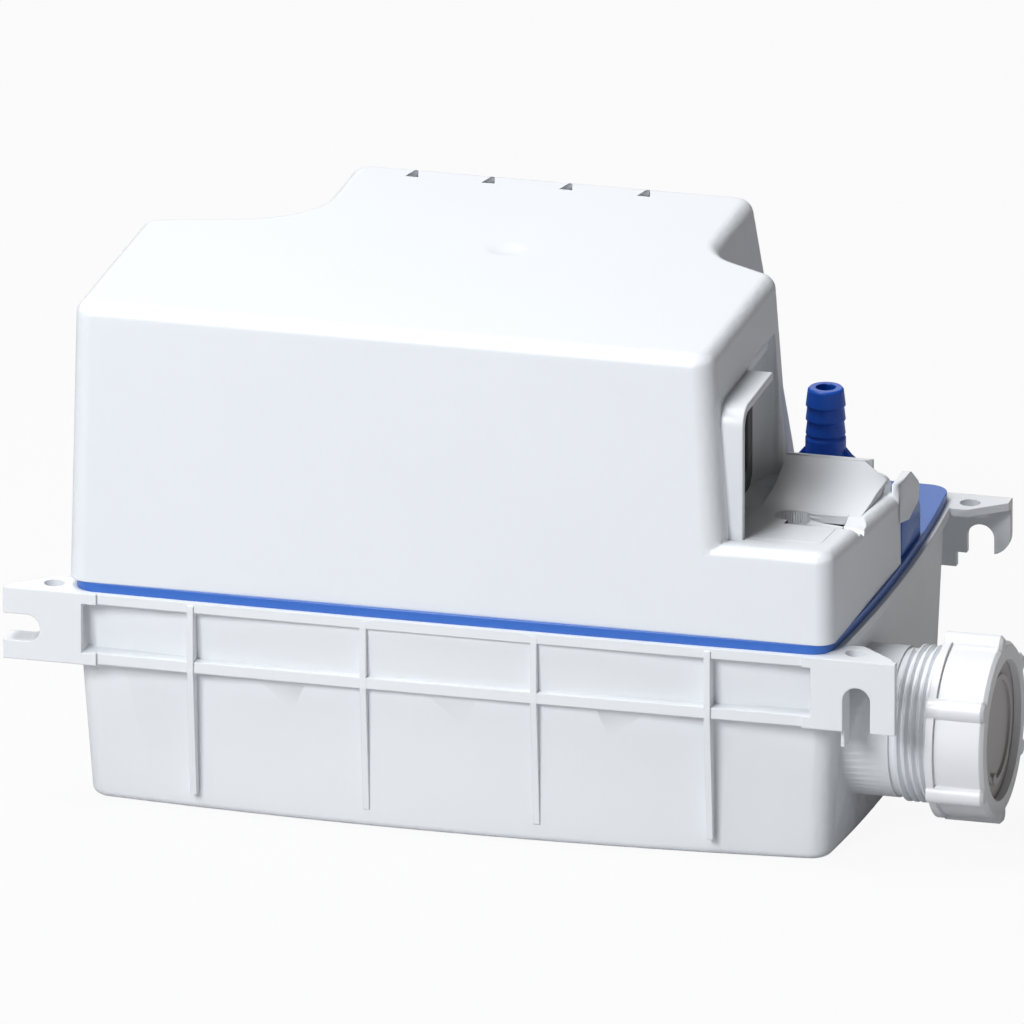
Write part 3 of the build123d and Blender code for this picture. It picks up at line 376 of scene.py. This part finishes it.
def settle(piece):
    """Put the place, turn and size of a piece into its mesh."""
    focus(piece)
    bpy.ops.object.transform_apply(location=True, rotation=True, scale=True)
    return piece


def block(name, low, high):
    """A cube primitive between two corners."""
    middle = [(a + b) / 2 * MM for a, b in zip(low, high)]
    bpy.ops.mesh.primitive_cube_add(size=1, location=middle)
    piece = bpy.context.object
    piece.name = name
    piece.scale = [(b - a) * MM for a, b in zip(low, high)]
    return settle(piece)


def arc(across, up, radius, start, end, steps):
    """Points of an arc, with angles in degrees."""
    turns = [math.radians(start + (end - start) * i / steps) for i in range(steps + 1)]
    return [(across + radius * math.cos(t), up + radius * math.sin(t)) for t in turns]


def rounded(left, right, low, high, radius):
    """Outline of a rectangle with round corners."""
    spots = ((right - radius, high - radius, 90), (left + radius, high - radius, 180),
             (left + radius, low + radius, 270), (right - radius, low + radius, 360))
    return [point for across, up, end in spots for point in arc(across, up, radius, end - 90, end, 5)]


def plate(name, outline, low, high, axis):
    """A filled outline of (across, up) points, pulled along an axis into a plate."""
    bpy.ops.object.select_all(action="DESELECT")
    bpy.ops.mesh.primitive_circle_add(vertices=len(outline), fill_type="NGON")
    piece = bpy.context.object
    piece.name = name
    for corner, (across, up) in zip(piece.data.vertices, outline):
        spot = {"X": (low, across, up), "Y": (across, low, up)}[axis]
        corner.co = [v * MM for v in spot]
    pull = [(high - low) * MM if axis == letter else 0 for letter in "XYZ"]
    bpy.ops.object.mode_set(mode="EDIT")
    bpy.ops.mesh.select_all(action="SELECT")
    bpy.ops.mesh.extrude_region_move(TRANSFORM_OT_translate={"value": pull})
    bpy.ops.mesh.select_all(action="SELECT")
    bpy.ops.mesh.normals_make_consistent(inside=False)
    bpy.ops.object.mode_set(mode="OBJECT")
    return piece


def apply_modifier(piece, kind, **settings):
    """Add a modifier, set it and apply it."""
    focus(piece)
    modifier = piece.modifiers.new(kind.lower(), kind)
    for key, value in settings.items():
        setattr(modifier, key, value)
    bpy.ops.object.modifier_apply(modifier=modifier.name)
    return piece


def carve(piece, *cutters):
    """Cut shapes away from a piece."""
    for cutter in cutters:
        apply_modifier(piece, "BOOLEAN", operation="DIFFERENCE", solver="EXACT", object=cutter)
        bpy.data.objects.remove(cutter)
    return piece


def soften(piece, width, segments=2):
    """Round the sharp edges of a piece, and shade it smooth."""
    apply_modifier(piece, "BEVEL", width=width * MM, segments=segments, limit_method="ANGLE",
                   angle_limit=BEVEL_ANGLE)
    bpy.ops.object.shade_smooth_by_angle(angle=SMOOTH_ANGLE)
    return piece


def firm_shading(piece, angle):
    """Smooth the rounds and keep the big flat faces flat, by weighting each normal with its face's area."""
    focus(piece)
    bpy.ops.object.shade_smooth_by_angle(angle=math.radians(angle))
    apply_modifier(piece, "WEIGHTED_NORMAL", mode="FACE_AREA", weight=100, keep_sharp=True)
    return piece


def closed_copy(node_name, name):
    """A copy of a CAD piece with its loose triangles merged, so that it can be carved."""
    piece = bpy.data.objects.new(name, nodes[node_name].data.copy())
    bpy.context.scene.collection.objects.link(piece)
    focus(piece)
    bpy.ops.object.mode_set(mode="EDIT")
    bpy.ops.mesh.select_all(action="SELECT")
    bpy.ops.mesh.remove_doubles(threshold=MERGE_WITHIN)
    bpy.ops.object.mode_set(mode="OBJECT")
    return piece


def finish_piece(piece, material_slot, *stands_for, body="housing"):
    """Dress a piece, let it ride on its body, and hide the CAD pieces that it stands for."""
    piece.data.materials.clear()
    piece.data.materials.append(finishes[material_slot])
    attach(piece, body)
    if stands_for:
        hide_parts(*stands_for)
    print(piece.name, "faces:", len(piece.data.polygons))
    return piece


# %% [markdown]
# ## Spout thread
# The drain spout has a coarse pipe thread, of which a few turns show behind the nut. A real thread is one
# ridge that winds along the pipe. A small closed section is wound round the spout's axis with a screw
# modifier, which gives the true pitch, and its two ends are closed.

# %% Spout thread
SPOUT_Y, SPOUT_Z = -36.0, 35.4
THREAD_ROOT = 44.85
THREAD_CREST = 47.8
THREAD_PITCH = 2.309
THREAD_START = 133.2
THREAD_TURNS = 9
STEPS_PER_TURN = 64
ROOT_SINK = 0.25
RIDGE_FOOT_END, RIDGE_TOP_START, RIDGE_TOP_END = 1.9, 0.7, 1.2

root, crest = THREAD_ROOT / 2 - ROOT_SINK, THREAD_CREST / 2
ridge = [(THREAD_START, root), (THREAD_START + RIDGE_FOOT_END, root),
         (THREAD_START + RIDGE_TOP_END, crest), (THREAD_START + RIDGE_TOP_START, crest)]
bpy.ops.object.select_all(action="DESELECT")
bpy.ops.mesh.primitive_circle_add(vertices=len(ridge), fill_type="NOTHING")
thread = bpy.context.object
thread.name = "spout_thread"
for corner, (along, out) in zip(thread.data.vertices, ridge):
    corner.co = (along * MM, 0, out * MM)
apply_modifier(thread, "SCREW", axis="X", angle=math.radians(360 * THREAD_TURNS),
               steps=STEPS_PER_TURN * THREAD_TURNS, screw_offset=THREAD_PITCH * THREAD_TURNS * MM,
               use_merge_vertices=False)
bpy.ops.object.mode_set(mode="EDIT")
bpy.ops.mesh.select_all(action="DESELECT")
bpy.ops.mesh.select_non_manifold()
bpy.ops.mesh.edge_face_add()
bpy.ops.mesh.select_all(action="SELECT")
bpy.ops.mesh.normals_make_consistent(inside=False)
bpy.ops.object.mode_set(mode="OBJECT")
thread.location = (0, SPOUT_Y * MM, SPOUT_Z * MM)
settle(thread)
bpy.ops.object.shade_smooth_by_angle(angle=math.radians(25))
finish_piece(thread, "tank_white")

# %% [markdown]
# ## Hood and cover
# The hood over the electrical inlet is a bent lip with a round front corner, moulded in one with the cover.
# The cover's own lip has a flat corner there, so a copy of the cover loses its upper lip, and a sheet with a
# bent outline takes its place. A lintel fills the gap behind the hood.

# %% Cover without its upper lip
DECK_TOP = 71.5
WALL_FOOT = 86.3
WALL_LEAN = 6.3 / 87.6
WALL_GAP = 0.02
LIP_LOW, LIP_HIGH, LIP_OUT = 131.0, 146.0, 95


def wall_x(height):
    """Just outside the cover's leaning right wall, at a height."""
    return WALL_FOOT - WALL_LEAN * (height - DECK_TOP) + WALL_GAP


cover = closed_copy("top_cover", "cover_shell")
trim = [(wall_x(LIP_LOW), LIP_LOW), (LIP_OUT, LIP_LOW), (LIP_OUT, LIP_HIGH), (wall_x(LIP_HIGH), LIP_HIGH)]
carve(cover, plate("lip_trim", trim, -70, -18, "Y"))

# %% Bent hood
HOOD_FACE, HOOD_END = -66.15, -29.6
HOOD_TOP, HOOD_FOOT = 141.2, 94.0
HOOD_WALL, HOOD_ROUND = 2.7, 6.5

centre = (HOOD_FACE + HOOD_ROUND, HOOD_TOP - HOOD_ROUND)
outline = [(HOOD_FACE, HOOD_FOOT)] + arc(*centre, HOOD_ROUND, 180, 90, 8) + [(HOOD_END, HOOD_TOP)]
outline += [(HOOD_END, HOOD_TOP - HOOD_WALL)] + arc(*centre, HOOD_ROUND - HOOD_WALL, 90, 180, 6)
outline += [(HOOD_FACE + HOOD_WALL, HOOD_FOOT)]
hood = plate("inlet_hood", outline, 76.0, 88.7, "X")
finish_piece(soften(hood, 0.6), "cover_white")
lintel = block("alcove_lintel", (75.5, -64.0, 139.5), (80.9, -5.5, 143.6))
finish_piece(soften(lintel, 0.3), "cover_white")

# %% [markdown]
# ## Inlet shroud
# The black inlet has a thick rounded collar that stands proud of its panel, which is what shows past the
# hood's edge. A rounded plate with the opening cut through it is enough.

# %% Inlet shroud
shroud = plate("inlet_shroud", rounded(-50.5, -18.5, 100.5, 134.0, radius=6), 73.6, 79.6, "X")
carve(shroud, plate("inlet_well", rounded(-45, -25, 107.5, 129.5, radius=2.5), 70, 82, "X"))
finish_piece(soften(shroud, 0.8, segments=3), "socket_black")

# %% [markdown]
# ## Top of the step
# The step's top falls gently toward a flat trough that drains the screw pocket over the spout end, runs level
# behind it, and sweeps up to the back wall. Two outlines are pulled into plates that lie on the cover. The
# trough is carved from the floor plate and from the cover, and the pocket, which the cover already has, from
# the floor plate alone.

# %% Floor and sweep of the step
STEP_FALL = 5.5 / 67.5
STEP_FRONT, STEP_FRONT_TOP = -75.5, 100.54
FLOOR_FRONT, FLOOR_BACK, FLOOR_UNDER = -62, -26.6, 93.0
SWEEP_UNDER, SWEEP_LOW_END = 94.0, 97.4
SWEEP_START, SWEEP_BEND, SWEEP_END = 83.8, 108.5, 115.6
SWEEP = [(-27.0, 96.5), (-20, 96.6), (-14, 96.9), (-9, 97.6), (-5, 98.5), (-1, 99.9), (2.0, 101.4),
         (4.6, 102.85)]
TROUGH = [(-43.6, 103.0), (-42.6, 95.5), (-33.0, 95.5), (-27.6, 97.0), (-27.6, 103.0)]
TROUGH_START, TROUGH_END = 95.5, 120
POCKET_X, POCKET_Y, POCKET_RADIUS = 95.5, -33, 5.5


def step_height(y):
    """Height of the step's floor, just above the cover's own."""
    return STEP_FRONT_TOP - STEP_FALL * (y - STEP_FRONT)


floor_side = [(FLOOR_FRONT, step_height(FLOOR_FRONT)), (FLOOR_BACK, step_height(FLOOR_BACK)),
              (FLOOR_BACK, FLOOR_UNDER), (FLOOR_FRONT, FLOOR_UNDER)]
step_floor = plate("step_floor", floor_side, 74.3, 112.0, "X")

sweep_side = SWEEP + [(SWEEP[-1][0], SWEEP_UNDER), (SWEEP[0][0], SWEEP_UNDER)]
sweep = plate("step_sweep", sweep_side, SWEEP_START, SWEEP_BEND, "X")
focus(sweep)
bpy.ops.object.mode_set(mode="EDIT")
bpy.ops.mesh.select_mode(type="FACE")
bpy.ops.mesh.select_all(action="DESELECT")
bpy.ops.object.mode_set(mode="OBJECT")
for face in sweep.data.polygons:
    face.select = face.normal.x > 0.9
bpy.ops.object.mode_set(mode="EDIT")
bpy.ops.mesh.extrude_region_move(TRANSFORM_OT_translate={"value": ((SWEEP_END - SWEEP_BEND) * MM, 0, 0)})
bpy.ops.object.mode_set(mode="OBJECT")
for corner in sweep.data.vertices:
    if corner.co.x > (SWEEP_END - 1) * MM:
        corner.co.z = min(corner.co.z, SWEEP_LOW_END * MM)
focus(sweep)
bpy.ops.object.shade_smooth_by_angle(angle=math.radians(50))

# %% Trough and screw pocket
for piece in (step_floor, cover):
    carve(piece, plate("trough", TROUGH, TROUGH_START, TROUGH_END, "X"))
bpy.ops.mesh.primitive_cylinder_add(vertices=64, radius=POCKET_RADIUS * MM, depth=20 * MM,
                                    location=(POCKET_X * MM, POCKET_Y * MM, 101 * MM))
carve(step_floor, bpy.context.object)
firm_shading(cover, 24)
finish_piece(cover, "cover_white", "top_cover")
finish_piece(step_floor, "cover_white")
finish_piece(sweep, "cover_white")

# %% [markdown]
# ## Upstand
# The deck's blue upstand is flush with the deck's edge and shows below and beside the cover's clip tab.

# %% Upstand
UPSTAND = [(7.6, 71.3), (31, 71.3), (31, 81.0), (28.6, 84.2), (7.6, 84.2)]
upstand = plate("deck_upstand", UPSTAND, 117.2, 119.4, "X")
finish_piece(soften(upstand, 0.4), "deck_blue")

# %% [markdown]
# ## Tank ears
# The ears are plain hooks on the real moulding: no collar stands round a slot at the back, the skirt ends
# higher there with a round corner, and the rail's end windows run right up to the ears. A copy of the tank is
# carved to that.

# %% Carve the tank's ears
EAR_ROOT, EAR_BEYOND = 119.4, 142.0
HOOK_LOW = [(129.0, 49.0), (129.6, 49.0), (129.6, 50.6)]
WINDOW_LOW, WINDOW_HIGH = 49.55, 65.15
RAIL_FRONT, RAIL_BACK = -79.0, -75.45

tank = closed_copy("tank", "tank_shell")
hook = HOOK_LOW + arc(129.9, 57.1, 6.5, -90, 0, 8)
hook += [(136.4, 70.0), (EAR_BEYOND, 70.0), (EAR_BEYOND, 40.0), (HOOK_LOW[0][0], 40.0)]
carve(tank,
      block("skirt_foot", (EAR_ROOT, 64.0, 30.0), (EAR_BEYOND, 82.0, 50.5)),
      block("back_collar", (EAR_ROOT, 62.0, 30.0), (134.5, 75.45, 65.9)),
      plate("hook_corner", hook, 60.0, 82.0, "Y"),
      block("left_window", (-114.6, RAIL_FRONT, WINDOW_LOW), (-109.8, RAIL_BACK, WINDOW_HIGH)),
      block("right_window", (109.8, RAIL_FRONT, WINDOW_LOW), (112.7, RAIL_BACK, WINDOW_HIGH)))
firm_shading(tank, 14)
finish_piece(tank, "tank_white", "tank")

# %% [markdown]
# ## Valve spring
# The ball presses its light spring together as the pump delivers, so the coil has to shorten by the ball's
# lift. A copy of the coil, with merged triangles, its own shading and a mesh of its own, takes the CAD coil's
# place; it is not squashed here.

# %% Valve spring
spring = closed_copy("valve_spring", "valve_spring_coil")
firm_shading(spring, 40)
finish_piece(spring, "screw_steel", "valve_spring")
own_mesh(spring)
